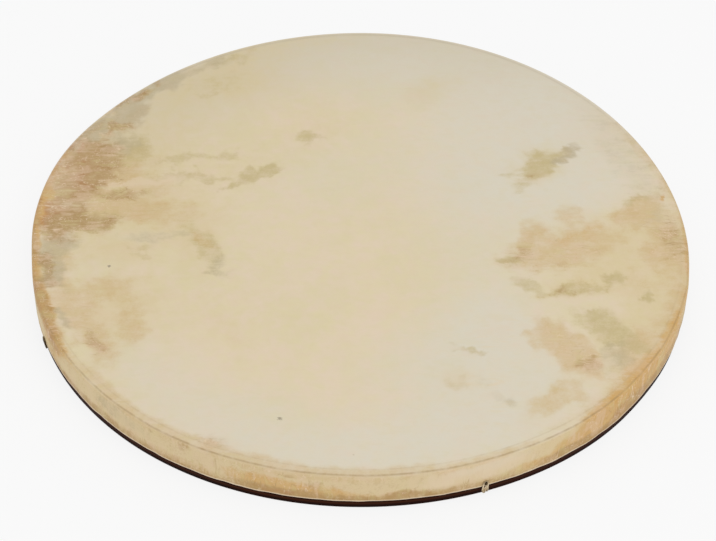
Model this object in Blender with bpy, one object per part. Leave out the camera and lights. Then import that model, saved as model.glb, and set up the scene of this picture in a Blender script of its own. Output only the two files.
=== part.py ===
"""A shallow frame drum: a bent hoop, a rawhide head drawn down over it, and two crossed grip thongs.

Metres, +Z up. The origin is the hoop's centre, on the plane of its underside. The head faces up.
"""

import math

import bmesh
import bpy
from mathutils import Vector
from mathutils.geometry import interpolate_bezier

# Driving dimensions
DIAMETER = 0.560
DEPTH = 0.0375
HOOP_WALL = 0.0060
HIDE = 0.0010
BARE_EDGE = 0.0092
HOOP_TOP_ROUND = 0.0013
EDGE_ROUND = 0.0012
THONG = 0.0018
HOLE_ABOVE_HIDE_EDGE = 0.0026
HOLE_CLEARANCE = 0.0008
GRIP_SAG = 0.0040
LOWER_THONG_ANGLE = math.radians(1.9)
UPPER_THONG_ANGLE = math.radians(90.0)

# Gap between pieces that touch
FIT = 0.0003

# A hand-bent hoop is never quite round: (lobes, angle of one lobe, share of the radius)
LOBES = (
    (3, math.radians(63.2), 0.0059),
    (4, math.radians(42.6), 0.0023),
)
# Short flat and full places in the bend: (angle, half width, share of the radius)
BEND_MARKS = (
    (math.radians(167.0), math.radians(8.1), -0.0074),
    (math.radians(138.7), math.radians(13.3), 0.0095),
    (math.radians(-34.9), math.radians(2.6), 0.0026),
    (math.radians(-56.0), math.radians(7.6), -0.0035),
)

# Facets
SEGMENTS = 120
ARC_STEPS = 3
HOLE_SIDES = 16
GRIP_STEPS = 9
KNOT_STEPS = 2
TUBE_RESOLUTION = 2

# Sizes that follow
RADIUS = DIAMETER / 2
HOOP_OUTER = RADIUS - HIDE - FIT
HOOP_INNER = HOOP_OUTER - HOOP_WALL
HOOP_TOP = DEPTH - HIDE - FIT
SHOULDER_RADIUS = HOOP_TOP_ROUND + FIT + HIDE
HOLE_RADIUS = THONG / 2 + HOLE_CLEARANCE
HOLE_HEIGHT = BARE_EDGE + HOLE_ABOVE_HIDE_EDGE
THONG_DROP = 0.6 * HOLE_CLEARANCE
THONG_HEIGHT = HOLE_HEIGHT - THONG_DROP

# The stopper knot outside each hole, as a route in thong diameters: sideways, outwards from the
# hide and upwards from the thong. The thong drops over the bare wood, rounds the bottom of the
# knot, arches over the hole and tucks behind itself, so that its cut end shows in front.
KNOT_ROUTE = (
    (0.00, 0.00, 0.00),
    (0.00, 0.95, -0.25),
    (0.10, 1.85, -1.10),
    (0.60, 2.05, -2.10),
    (1.05, 1.55, -3.10),
    (0.70, 0.90, -3.95),
    (-0.20, 0.75, -4.15),
    (-1.10, 0.80, -3.40),
    (-1.35, 0.80, -2.20),
    (-1.30, 0.80, -0.70),
    (-1.10, 0.80, 0.70),
    (-0.40, 0.80, 1.65),
    (0.55, 0.80, 1.65),
    (1.20, 0.80, 0.75),
    (1.25, 0.80, -0.60),
    (0.75, 0.75, -1.80),
    (0.00, 1.00, -2.60),
    (-0.35, 1.80, -3.20),
    (-0.45, 2.30, -4.00),
)


def clear_scene():
    for item in list(bpy.data.objects):
        bpy.data.objects.remove(item, do_unlink=True)


def material(name, colour, roughness, metallic=0.0):
    made = bpy.data.materials.new(name)
    made.use_nodes = True
    shader = made.node_tree.nodes["Principled BSDF"]
    shader.inputs["Base Color"].default_value = (*colour, 1.0)
    shader.inputs["Roughness"].default_value = roughness
    shader.inputs["Metallic"].default_value = metallic
    made.diffuse_color = (*colour, 1.0)
    return made


def add_object(name, data, finish):
    made = bpy.data.objects.new(name, data)
    bpy.context.scene.collection.objects.link(made)
    made.data.materials.append(finish)
    return made


def out_of_round(angle):
    """The hoop's radius at an angle, as a share of its nominal radius."""
    share = 1.0
    for lobes, place, height in LOBES:
        share += height * math.cos(lobes * (angle - place))
    for place, half_width, height in BEND_MARKS:
        away = math.remainder(angle - place, math.tau)
        share += height * math.exp(-((away / half_width) ** 2))
    return share


def arc(centre_radius, centre_height, radius, start_degrees, end_degrees):
    """Points of a quarter round in the section plane, as (distance from the axis, height)."""
    points = []
    for step in range(ARC_STEPS + 1):
        turn = math.radians(start_degrees + (end_degrees - start_degrees) * step / ARC_STEPS)
        points.append((
            centre_radius + radius * math.cos(turn),
            centre_height + radius * math.sin(turn),
        ))
    return points


def sweep_round(name, section, closed, finish):
    """Carries a section round the axis, following the hoop's bend.

    A closed section makes a ring. An open one starts and ends on the axis, where its rings meet.
    """
    mesh = bpy.data.meshes.new(name)
    shape = bmesh.new()
    rings = []
    for distance, height in section:
        if distance < 1e-9:
            rings.append([shape.verts.new((0.0, 0.0, height))])
            continue
        ring = []
        for step in range(SEGMENTS):
            angle = math.tau * step / SEGMENTS
            reach = distance * out_of_round(angle)
            ring.append(shape.verts.new((reach * math.cos(angle), reach * math.sin(angle), height)))
        rings.append(ring)
    pairs = list(zip(rings, rings[1:]))
    if closed:
        pairs.append((rings[-1], rings[0]))
    for first, second in pairs:
        for step in range(SEGMENTS):
            after = (step + 1) % SEGMENTS
            corners = [
                first[step % len(first)],
                first[after % len(first)],
                second[after % len(second)],
                second[step % len(second)],
            ]
            shape.faces.new(list(dict.fromkeys(corners)))
    bmesh.ops.recalc_face_normals(shape, faces=shape.faces)
    shape.to_mesh(mesh)
    shape.free()
    made = add_object(name, mesh, finish)
    mesh.shade_smooth()
    mesh.set_sharp_from_angle(angle=math.radians(35))
    return made


def hoop(finish):
    """The bent plank: square in section, its corners eased, its top outer corner rounded for the hide."""
    section = [
        *arc(HOOP_OUTER - EDGE_ROUND, EDGE_ROUND, EDGE_ROUND, -90, 0),
        *arc(HOOP_OUTER - HOOP_TOP_ROUND, HOOP_TOP - HOOP_TOP_ROUND, HOOP_TOP_ROUND, 0, 90),
        *arc(HOOP_INNER + EDGE_ROUND, HOOP_TOP - EDGE_ROUND, EDGE_ROUND, 90, 180),
        *arc(HOOP_INNER + EDGE_ROUND, EDGE_ROUND, EDGE_ROUND, 180, 270),
    ]
    return sweep_round("hoop", section, True, finish)


def drumhead(finish):
    """The rawhide: a flat skin that turns over the shoulder and hangs down the hoop's side."""
    turn_centre = (RADIUS - SHOULDER_RADIUS, DEPTH - SHOULDER_RADIUS)
    section = [
        (0.0, DEPTH),
        *arc(*turn_centre, SHOULDER_RADIUS, 90, 0),
        (RADIUS, BARE_EDGE),
        (RADIUS - HIDE, BARE_EDGE),
        *arc(*turn_centre, SHOULDER_RADIUS - HIDE, 0, 90),
        (0.0, DEPTH - HIDE),
    ]
    return sweep_round("drumhead", section, False, finish)


def hole_angles():
    return [
        thong_angle + half_turn
        for thong_angle in (LOWER_THONG_ANGLE, UPPER_THONG_ANGLE)
        for half_turn in (0.0, math.pi)
    ]


def bore_thong_holes(pieces):
    """Cuts the radial holes for the thongs through the skirt of the hide and the hoop together."""
    length = 4 * (RADIUS - HOOP_INNER)
    for number, angle in enumerate(hole_angles(), 1):
        bpy.ops.mesh.primitive_cylinder_add(vertices=HOLE_SIDES, radius=HOLE_RADIUS, depth=length)
        cutter = bpy.context.object
        cutter.name = f"thong_hole_{number}"
        middle = (HOOP_INNER + HOOP_OUTER) / 2 * out_of_round(angle)
        cutter.location = (middle * math.cos(angle), middle * math.sin(angle), HOLE_HEIGHT)
        cutter.rotation_euler = (0.0, math.pi / 2, angle)
        cutter.hide_render = True
        cutter.display_type = "WIRE"
        for piece in pieces:
            cut = piece.modifiers.new(cutter.name, "BOOLEAN")
            cut.operation = "DIFFERENCE"
            cut.solver = "EXACT"
            cut.object = cutter


def through(points, steps):
    """A smooth curve through the points, with that many spans between each two."""
    smooth = []
    for number, (start, end) in enumerate(zip(points, points[1:])):
        before = points[max(number - 1, 0)]
        after = points[min(number + 2, len(points) - 1)]
        first_handle = start + (end - before) / 6
        last_handle = end - (after - start) / 6
        smooth += interpolate_bezier(start, first_handle, last_handle, end, steps + 1)[:-1]
    return [*smooth, points[-1]]


def knot_route(angle):
    """The stopper knot's centreline outside the hole at that angle, from the hole to the cut end."""
    outwards = Vector((math.cos(angle), math.sin(angle), 0.0))
    sideways = Vector((-math.sin(angle), math.cos(angle), 0.0))
    upwards = Vector((0.0, 0.0, 1.0))
    hole = outwards * RADIUS * out_of_round(angle) + upwards * THONG_HEIGHT
    controls = [
        hole + (sideways * side + outwards * out + upwards * up) * THONG
        for side, out, up in KNOT_ROUTE
    ]
    return through(controls, KNOT_STEPS)


def grip_thong(name, angle, middle_height, finish):
    """One thong: a knot, a sagging run through the hoop and across its back, and another knot."""
    along = Vector((math.cos(angle), math.sin(angle), 0.0))
    run = []
    for step in range(GRIP_STEPS):
        share = 1 - 2 * step / (GRIP_STEPS - 1)
        height = middle_height + (THONG_HEIGHT - middle_height) * share**2
        run.append(along * HOOP_INNER * share + Vector((0.0, 0.0, height)))
    first_knot = knot_route(angle)
    last_knot = knot_route(angle + math.pi)
    route = [*reversed(first_knot), *run, *last_knot]
    curve = bpy.data.curves.new(name, "CURVE")
    curve.dimensions = "3D"
    curve.twist_mode = "MINIMUM"
    curve.bevel_depth = THONG / 2
    curve.bevel_resolution = TUBE_RESOLUTION
    curve.use_fill_caps = True
    spline = curve.splines.new("POLY")
    spline.points.add(len(route) - 1)
    for point, place in zip(spline.points, route):
        point.co = (*place, 1.0)
    return add_object(name, curve, finish)


def build():
    clear_scene()
    rawhide = material("rawhide", (0.66, 0.57, 0.39), 0.55)
    stained_wood = material("stained_wood", (0.035, 0.014, 0.009), 0.45)
    thong_hide = material("thong_hide", (0.50, 0.40, 0.22), 0.6)
    bore_thong_holes([hoop(stained_wood), drumhead(rawhide)])
    lower_middle = THONG_HEIGHT - GRIP_SAG
    grip_thong("grip_thong_lower", LOWER_THONG_ANGLE, lower_middle, thong_hide)
    upper_middle = lower_middle + THONG + FIT
    grip_thong("grip_thong_upper", UPPER_THONG_ANGLE, upper_middle, thong_hide)


build()
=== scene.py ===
# %% [markdown]
# # A shallow frame drum
#
# The real drum has three kinds of piece. A plank of wood is bent into a hoop and stained almost
# black. A wet rawhide is drawn over it and down its side, where it dries as tight as a board. Two
# thin thongs cross the open back, so that a hand can hold the drum, and end outside in knots.
#
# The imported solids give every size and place. This script dresses them: it makes finer surfaces
# with numpy, and gives each one a finish that is worked out by shader nodes.

# %% The solids that everything is fitted to
import math

import bmesh
import bpy
import numpy as np
from mathutils import Matrix, Vector


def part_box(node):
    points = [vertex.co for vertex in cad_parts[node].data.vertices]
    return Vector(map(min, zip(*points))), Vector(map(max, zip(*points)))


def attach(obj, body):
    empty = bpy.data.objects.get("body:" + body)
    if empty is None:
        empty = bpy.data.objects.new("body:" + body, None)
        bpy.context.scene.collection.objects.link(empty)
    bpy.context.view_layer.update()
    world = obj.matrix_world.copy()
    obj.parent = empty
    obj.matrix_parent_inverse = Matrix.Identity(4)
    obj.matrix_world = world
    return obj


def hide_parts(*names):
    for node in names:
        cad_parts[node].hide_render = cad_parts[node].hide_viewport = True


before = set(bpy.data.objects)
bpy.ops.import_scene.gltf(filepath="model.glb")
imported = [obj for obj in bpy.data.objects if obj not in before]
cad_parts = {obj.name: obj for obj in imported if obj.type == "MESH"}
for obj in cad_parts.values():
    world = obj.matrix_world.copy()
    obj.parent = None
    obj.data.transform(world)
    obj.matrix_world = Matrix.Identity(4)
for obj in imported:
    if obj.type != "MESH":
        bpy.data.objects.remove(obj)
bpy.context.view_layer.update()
head_low, head_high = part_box("drumhead")
TOP = head_high[2]
HIDE_EDGE = head_low[2]
print("solids:", sorted(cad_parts), "top", round(TOP, 4), "hide's edge", round(HIDE_EDGE, 4))

# %% [markdown]
# ## The camera
#
# The camera comes first. Its place was found by matching the drum's whole outline: it stands 1.82 m
# off, 43 degrees above the table, and looks through a long lens. A camera looks along its own -Z, so
# its matrix has the view's right, up and backward directions as columns.

# %% Camera
PHOTO_WIDTH = 716
SENSOR = 36.0
FOCAL_IN_PIXELS = 2100.0
DISTANCE = 1.82
AZIMUTH = math.radians(-21.0)
ELEVATION = math.radians(43.06)
PAN = math.radians(-0.035)
TILT = math.radians(-0.221)
ROLL = math.radians(0.703)


def place_camera():
    """Aims at the origin from the azimuth and elevation, then pans, tilts and rolls a little."""
    level = Vector((math.sin(AZIMUTH), -math.cos(AZIMUTH), 0.0))
    back = level * math.cos(ELEVATION) + Vector((0.0, 0.0, math.sin(ELEVATION)))
    right = Vector((math.cos(AZIMUTH), math.sin(AZIMUTH), 0.0))
    up = back.cross(right)
    forward = (right * math.tan(PAN) + up * math.tan(TILT) - back).normalized()
    right = (right - forward * right.dot(forward)).normalized()
    up = right.cross(forward)
    rolled_right = right * math.cos(ROLL) + up * math.sin(ROLL)
    rolled_up = up * math.cos(ROLL) - right * math.sin(ROLL)
    data = bpy.data.cameras.new("camera")
    data.sensor_width = SENSOR
    data.lens = FOCAL_IN_PIXELS * SENSOR / PHOTO_WIDTH
    data.clip_end = 50.0
    camera = bpy.data.objects.new("camera", data)
    turned = Matrix((rolled_right, rolled_up, -forward)).transposed().to_4x4()
    camera.matrix_world = Matrix.Translation(back * DISTANCE) @ turned
    bpy.context.scene.collection.objects.link(camera)
    bpy.context.scene.camera = camera
    print("lens", round(data.lens, 1), "mm")


place_camera()

# %% [markdown]
# ## The bend of the hoop
#
# A plank bent by hand never makes a true circle. The solid head's cut edge holds the real outline
# as a ring of points, evenly spaced by angle. A Fourier series through them gives the radius at any
# angle, so that finer surfaces follow the same bend without its facets.

# %% The outline as a function of angle
DIAMETER = 0.560
RADIUS = DIAMETER / 2
HIDE = 0.0010
FIT = 0.0003
HOOP_WALL = 0.0060
HOOP_TOP_ROUND = 0.0013
EDGE_ROUND = 0.0012
HOOP_OUTER = RADIUS - HIDE - FIT
HOOP_INNER = HOOP_OUTER - HOOP_WALL
HOOP_TOP = TOP - HIDE - FIT
SHOULDER = HOOP_TOP_ROUND + FIT + HIDE


def points_of(piece):
    """The points of a piece's mesh, as an array of rows."""
    points = np.empty(3 * len(piece.data.vertices))
    piece.data.vertices.foreach_get("co", points)
    return points.reshape(-1, 3)


def read_outline():
    """The Fourier terms of the hide's outer radius, from the outer ring of its cut edge."""
    points = points_of(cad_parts["drumhead"])
    ring = points[np.abs(points[:, 2] - HIDE_EDGE) < 1e-4]
    angle = np.round(np.arctan2(ring[:, 1], ring[:, 0]), 4)
    angle[angle > 3.141] = -3.1416
    reach = np.hypot(ring[:, 0], ring[:, 1])
    steps = np.unique(angle)
    outer = np.array([reach[angle == step].max() for step in steps])
    print("outline:", len(steps), "points, radius", outer.min().round(4), "to", outer.max().round(4))
    return np.fft.rfft(outer) / len(steps), steps[0]


OUTLINE_TERMS, OUTLINE_START = read_outline()


def share(angle):
    """The bent radius as a share of the true circle's: the sum of the series' waves."""
    wave = np.arange(1, len(OUTLINE_TERMS) - 1)
    turn = np.exp(1j * wave * (np.asarray(angle)[..., None] - OUTLINE_START))
    return (OUTLINE_TERMS[0].real + 2 * (turn @ OUTLINE_TERMS[1:-1]).real) / RADIUS


def around(distance, angle, height):
    """Points at a distance from the axis, bent with the hoop, as an array with x, y and z last."""
    reach = distance * share(angle)
    return np.stack(np.broadcast_arrays(reach * np.cos(angle), reach * np.sin(angle), height), -1)


# %% [markdown]
# ## Holes and columns
#
# Two thongs make four holes, each through the hide's skirt and the hoop. A hole in a grid is made by
# leaving out the cells inside it and sliding the points on its rim onto the circle. That needs small
# cells, so the columns of both grids are packed closer near each hole.

# %% Where the holes are, and the grids' columns
LOWER_THONG_ANGLE = math.radians(1.9)
UPPER_THONG_ANGLE = math.radians(90.0)
HOLE_ANGLES = [
    thong_angle + half_turn
    for thong_angle in (LOWER_THONG_ANGLE, UPPER_THONG_ANGLE)
    for half_turn in (0.0, math.pi)
]
THONG = 0.0018
HOLE_CLEARANCE = 0.0008
HOLE_RADIUS = THONG / 2 + HOLE_CLEARANCE
HOLE_HEIGHT = HIDE_EDGE + 0.0026
FINE_CELL = 0.00045
FINE_REACH = 0.0050


def grid_columns(spacing):
    """Angles right round the drum, about that far apart, and closer beside each hole."""
    coarse = np.linspace(0, math.tau, round(math.tau * RADIUS / spacing), endpoint=False)
    fine_steps = np.arange(-FINE_REACH, FINE_REACH + FINE_CELL / 2, FINE_CELL) / RADIUS
    angles = [coarse]
    for hole in HOLE_ANGLES:
        away = np.abs((angles[0] - hole + math.pi) % math.tau - math.pi)
        angles[0] = angles[0][away > (FINE_REACH + spacing / 2) / RADIUS]
        angles.append((hole + fine_steps) % math.tau)
    return np.unique(np.concatenate(angles))


def open_holes(angle, height, on_wall):
    """Cuts the holes in a grid of angles and heights: the cells to leave out, and the moved points.

    A cell goes when its middle is nearer to the hole's than the radius. A point that then lies on
    the rim is moved along the line from the hole's middle until it is exactly a radius away.
    """
    removed = np.zeros((angle.shape[0] - 1, angle.shape[1]), bool)
    angle, height = angle.copy(), height.copy()
    for hole in HOLE_ANGLES:
        across = ((angle - hole + math.pi) % math.tau - math.pi) * RADIUS
        above = height - HOLE_HEIGHT
        near = np.hypot(across, above) < 3 * HOLE_RADIUS
        middle_across = (across[:-1] + np.roll(across, -1, 1)[:-1]) / 2
        middle_above = (above[:-1] + above[1:]) / 2
        cut = (np.hypot(middle_across, middle_above) < HOLE_RADIUS) & on_wall[:-1] & near[:-1]
        count = np.zeros(angle.shape, int)
        for rows in (slice(None, -1), slice(1, None)):
            count[rows] += cut.astype(int) + np.roll(cut, 1, 1)
        rim = (count > 0) & (count < 4)
        stretch = np.where(rim, HOLE_RADIUS / np.maximum(np.hypot(across, above), 1e-9), 1.0)
        angle = np.where(rim, hole + across * stretch / RADIUS, angle)
        height = np.where(rim, HOLE_HEIGHT + above * stretch, height)
        removed |= cut
    return removed, angle, height


COLUMNS = grid_columns(0.0037)
print("columns:", len(COLUMNS))

# %% [markdown]
# ## From arrays to a closed body
#
# The head and the hoop are both a double skin: an outer and an inner grid that face each other.
# Where the outer grid ends, a strip joins it to the inner one, and the rim of each hole is joined to
# the same rim on the inner grid, which gives the hole its wall. On the head both grids run to the
# middle, where they close in a point.

# %% Meshes from grids


def make_piece(name, points, *faces):
    """An object from an array of points and arrays of faces, with its faces turned outwards."""
    corners = np.concatenate([group.ravel() for group in faces])
    sizes = np.concatenate([np.full(len(group), group.shape[1]) for group in faces])
    used, corners = np.unique(corners, return_inverse=True)
    mesh = bpy.data.meshes.new(name)
    mesh.vertices.add(len(used))
    mesh.vertices.foreach_set("co", points.reshape(-1, 3)[used].ravel())
    mesh.loops.add(len(corners))
    mesh.loops.foreach_set("vertex_index", corners.ravel().astype(np.int32))
    mesh.polygons.add(len(sizes))
    mesh.polygons.foreach_set("loop_start", (np.cumsum(sizes) - sizes).astype(np.int32))
    mesh.update(calc_edges=True)
    mesh.validate()
    shape = bmesh.new()
    shape.from_mesh(mesh)
    bmesh.ops.recalc_face_normals(shape, faces=shape.faces)
    open_edges = sum(not edge.is_manifold for edge in shape.edges)
    shape.to_mesh(mesh)
    shape.free()
    mesh.shade_smooth()
    mesh.set_sharp_from_angle(angle=math.radians(50))
    piece = bpy.data.objects.new(name, mesh)
    bpy.context.scene.collection.objects.link(piece)
    print(name, len(mesh.polygons), "faces,", open_edges, "open edges")
    return piece, used


def cells(index):
    """The four corners of each cell of a grid whose columns run right round."""
    after = np.roll(index, -1, 1)
    return np.stack([index[:-1], after[:-1], after[1:], index[1:]], -1)


def hole_walls(removed, outer, inner):
    """The faces between the two rims of each hole, one for each edge between a kept and a cut cell."""
    upright = removed != np.roll(removed, -1, 1)
    level = removed[:-1] != removed[1:]
    outer_after, inner_after = np.roll(outer, -1, 1), np.roll(inner, -1, 1)
    sides = [outer_after[:-1], outer_after[1:], inner_after[1:], inner_after[:-1]]
    ends = [outer[1:-1], outer_after[1:-1], inner_after[1:-1], inner[1:-1]]
    return [
        np.stack([side[upright] for side in sides], -1),
        np.stack([end[level] for end in ends], -1),
    ]


def double_skin(name, outside, inside, removed, poles=None):
    """Joins two facing grids into one closed body. With poles, the last rows close in a point each."""
    columns = outside.shape[1]
    outer = np.arange(outside.shape[0] * columns).reshape(-1, columns)
    inner = np.arange(inside.shape[0] * columns).reshape(-1, columns) + outer.size
    shared = len(inner)
    faces = [
        cells(outer)[~removed],
        cells(inner)[~removed[:shared - 1]],
        *hole_walls(removed[:shared - 1], outer[:shared], inner),
        cells(np.stack([outer[0], inner[0]])).reshape(-1, 4),
    ]
    points = [outside.reshape(-1, 3), inside.reshape(-1, 3)]
    if poles is None:
        faces.append(cells(np.stack([outer[-1], inner[-1]])).reshape(-1, 4))
    else:
        points.append(np.asarray(poles))
        first_pole = outer.size + inner.size
        for ring, middle in ((outer[-1], first_pole), (inner[-1], first_pole + 1)):
            faces.append(np.stack([ring, np.roll(ring, -1), np.full(columns, middle)], -1))
    return make_piece(name, np.concatenate(points), *faces)


def paint(piece, name, values):
    """Keeps one number for each of the piece's points, for its finish to read."""
    attribute = piece.data.attributes.new(name, "FLOAT", "POINT")
    attribute.data.foreach_set("value", np.ascontiguousarray(values, np.float32))


def painted(piece, name):
    """The numbers that were kept for the piece's points under that name."""
    values = np.empty(len(piece.data.vertices))
    piece.data.attributes[name].data.foreach_get("value", values)
    return values


# %% [markdown]
# ## The head
#
# Rawhide is stiff when dry. It lies flat on the hoop, turns over its shoulder in a tight bend and
# hangs down the side as a skirt with shallow upright pleats, which grow towards the cut edge. The
# hoop's inner top edge shows through it as a soft step. The section of the head is a path of rows
# from the cut edge up, over and in to the middle. Each row has a distance from the axis, a height
# and the direction in which its surface faces, and the relief is added in that direction.

# %% The head's surface
BAND = 0.010
TOP_SPACING = 0.0030
WAVES = np.random.default_rng(7)


def wander(angle, waves, low, high):
    """A random line round the drum between about -1 and 1: a sum of waves of equal weight."""
    counts = WAVES.integers(low, high, waves)
    phases = WAVES.uniform(0, math.tau, waves)
    total = sum(np.cos(count * angle + phase) for count, phase in zip(counts, phases))
    return total / math.sqrt(waves)


def head_rows():
    """The section of the head: distance from the axis, height, and the angle that it faces upwards."""
    skirt_top = TOP - SHOULDER
    fine_top = HOLE_HEIGHT + HOLE_RADIUS + 3 * FINE_CELL
    low = np.arange(HIDE_EDGE + 0.0003, fine_top, FINE_CELL)
    heights = np.concatenate([[HIDE_EDGE], low, np.linspace(fine_top, skirt_top, 12)[1:]])
    skirt = [np.full(len(heights), RADIUS), heights, np.zeros(len(heights))]
    bend = np.linspace(0, math.pi / 2, 8)[1:]
    over = [
        RADIUS - SHOULDER + SHOULDER * np.cos(bend),
        skirt_top + SHOULDER * np.sin(bend),
        bend,
    ]
    band = RADIUS - SHOULDER - np.linspace(0, BAND, 11)[1:]
    distances = np.concatenate([band, np.arange(band[-1] - TOP_SPACING, TOP_SPACING / 2, -TOP_SPACING)])
    flat = [distances, np.full(len(distances), TOP), np.full(len(distances), math.pi / 2)]
    distance, height, facing = (np.concatenate(parts) for parts in zip(skirt, over, flat))
    return distance, height, facing


def smooth_step(value, low, high):
    """0 below low, 1 above high, and an even turn between them."""
    part = np.clip((value - low) / (high - low), 0, 1)
    return part * part * (3 - 2 * part)


STEP_IN = RADIUS - HOOP_INNER
STEP_DEPTH = 0.00025
PLEAT_DEPTH = 0.00016
RAGGED_DEPTH = 0.00010
RAGGED_HEIGHT = 0.0008


def make_head():
    """Two skins along the rows and columns, lifted by the relief, and the numbers the finish needs."""
    distance, height, facing = (row[:, None] for row in head_rows())
    angle = np.broadcast_to(COLUMNS, (len(distance), len(COLUMNS)))
    on_wall = np.broadcast_to(facing == 0, angle.shape)
    removed, angle, height = open_holes(angle, np.broadcast_to(height, angle.shape), on_wall)
    below = np.clip((TOP - height) / (TOP - HIDE_EDGE), 0, 1)
    pleats = PLEAT_DEPTH * (wander(angle, 7, 14, 60) + 0.5 * wander(angle, 9, 60, 170)) * below**1.5
    step = -STEP_DEPTH * smooth_step(RADIUS - distance, STEP_IN - 0.0008, STEP_IN + 0.0016)
    relief = np.where(facing == 0, pleats, 0.0) + np.where(facing > 1.5, step, 0.0)
    ragged = RAGGED_DEPTH * (wander(angle, 6, 5, 40) + 0.6 * wander(angle, 8, 60, 200))
    first_rows = np.clip(1 - (height - HIDE_EDGE) / RAGGED_HEIGHT, 0, 1)
    height = height + ragged * first_rows * on_wall
    inner_rows = 1 + int(np.argmin(np.abs(distance[:, 0] - (RADIUS - SHOULDER - BAND))))
    sheets = []
    for depth, rows in ((0.0, len(distance)), (HIDE, inner_rows)):
        reach = distance + (relief - depth) * np.cos(facing)
        sheets.append(around(reach, angle, height + (relief - depth) * np.sin(facing))[:rows])
    middle_height = TOP - STEP_DEPTH
    poles = [(0, 0, middle_height), (0, 0, middle_height - HIDE)]
    head, used = double_skin("head", *sheets, removed, poles)
    half_bend = SHOULDER * math.pi / 4
    on_skirt = (TOP - SHOULDER - height) + half_bend
    on_bend = half_bend - SHOULDER * facing
    on_top = distance - (RADIUS - SHOULDER) - half_bend
    past = np.where(facing == 0, on_skirt, np.where(distance > RADIUS - SHOULDER, on_bend, on_top))
    inside = np.concatenate([np.zeros(past.size), np.ones(past[:inner_rows].size), [0.0, 1.0]])
    past = np.concatenate([past.ravel(), past[:inner_rows].ravel(), [-RADIUS, -RADIUS]])
    paint(head, "past_shoulder", past[used])
    paint(head, "inside", inside[used])
    return head


head = make_head()

# %% [markdown]
# ## The hoop
#
# The plank is 6 mm thick with eased corners, and its grain runs right round. Its two ends overlap in
# a long slanted lap, which shows on the inside as a fine step. Both walls have the same rows, so that
# the thong holes go straight through.

# %% The hoop's surface
LAP_ANGLE = math.radians(128.0)
LAP_SLANT = 1.4
LAP_STEP = 0.00030
LAP_FADE = 0.12
PLANE_MARK_DEPTH = 0.00005


def hoop_rows():
    """The outer half of the section, from the middle of the underside round to that of the top.

    Gives how far the surface lies out from the wall's middle, its height, and whether it is upright.
    """
    half = HOOP_WALL / 2
    turn = np.linspace(0, math.pi / 2, 6)
    hole_low, hole_high = HOLE_HEIGHT - HOLE_RADIUS, HOLE_HEIGHT + HOLE_RADIUS
    fine = np.arange(hole_low - 2 * FINE_CELL, hole_high + 0.001, FINE_CELL)
    wall_low, wall_high = EDGE_ROUND, HOOP_TOP - HOOP_TOP_ROUND
    wall = np.concatenate([
        np.linspace(wall_low, fine[0], 7)[1:-1], fine, np.linspace(fine[-1], wall_high, 12)[1:-1],
    ])
    out = np.concatenate([
        [0, half / 3],
        half - EDGE_ROUND + EDGE_ROUND * np.sin(turn),
        np.full(len(wall), half),
        half - HOOP_TOP_ROUND + HOOP_TOP_ROUND * np.cos(turn),
        [half / 3, 0],
    ])
    height = np.concatenate([
        [0, 0],
        wall_low - EDGE_ROUND * np.cos(turn),
        wall,
        wall_high + HOOP_TOP_ROUND * np.sin(turn),
        [HOOP_TOP, HOOP_TOP],
    ])
    upright = (height > wall_low) & (height < wall_high)
    return out, height, upright


def make_hoop():
    """The wall's two sides from the same rows. The lap is a step that fades along the inside."""
    out, height, upright = (row[:, None] for row in hoop_rows())
    angle = np.broadcast_to(COLUMNS, (len(out), len(COLUMNS)))
    upright = np.broadcast_to(upright, angle.shape)
    removed, angle, height = open_holes(angle, np.broadcast_to(height, angle.shape), upright)
    middle = (HOOP_OUTER + HOOP_INNER) / 2
    slanted = angle - LAP_ANGLE + LAP_SLANT * (height - HOOP_TOP / 2)
    lap = LAP_STEP * np.where(slanted < 0, np.exp(slanted / LAP_FADE), 0.0)
    plane_marks = PLANE_MARK_DEPTH * (wander(angle, 8, 30, 120) + wander(angle + 12 * height, 6, 60, 200))
    outside = around(middle + out + plane_marks * upright, angle, height)
    inside = around(middle - out - (lap + plane_marks) * (out > 0), angle, height)
    hoop, _ = double_skin("bent_hoop", outside, inside, removed)
    return hoop


hoop = make_hoop()

# %% [markdown]
# ## The grip thongs
#
# A thong is a narrow strip of rawhide, twisted while wet. Outside each hole it ends in a stopper
# knot: it drops over the bare wood, rounds the bottom, arches over the hole and tucks behind itself.
# The solids hold a plain round knot. This one has a route of its own, closer to the hide and with a
# width at each corner, because the arch is thin and the tails are broad. One route serves all four
# knots: a small matrix mirrors and leans it for the thong that lies the other way.

# %% The thongs' route
GRIP_SAG = 0.0040
GRIP_STEPS = 9
THONG_HEIGHT = HOLE_HEIGHT - 0.6 * HOLE_CLEARANCE
# sideways, outwards, upwards and the strand's width, in thong diameters
KNOT_ROUTE = np.array([
    (0.00, 0.00, -0.12, 0.78), (-0.05, 0.45, -0.38, 0.70),
    (-0.18, 0.72, -1.05, 0.80), (-0.42, 0.72, -2.00, 1.00),
    (-0.55, 0.60, -3.20, 1.05), (-0.60, 0.55, -4.20, 1.00),
    (-0.98, 0.52, -4.80, 0.95), (-1.42, 0.54, -4.25, 1.00),
    (-1.50, 0.56, -3.20, 1.05), (-1.48, 0.60, -1.80, 1.00),
    (-1.44, 0.60, -0.30, 0.90), (-1.34, 0.56, 0.80, 0.75),
    (-0.92, 0.52, 1.62, 0.58), (-0.25, 0.52, 1.90, 0.50),
    (0.42, 0.54, 1.45, 0.56), (0.72, 0.62, 0.35, 0.72),
    (0.62, 0.68, -1.10, 0.95), (0.52, 0.62, -2.60, 1.05),
    (0.45, 0.56, -3.90, 1.05), (0.38, 0.55, -4.75, 1.00),
])
PRESSED = 0.80
KNOT_SPACING = 0.0004
RUN_SPACING = 0.0018
UP = np.array([0.0, 0.0, 1.0])
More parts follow.
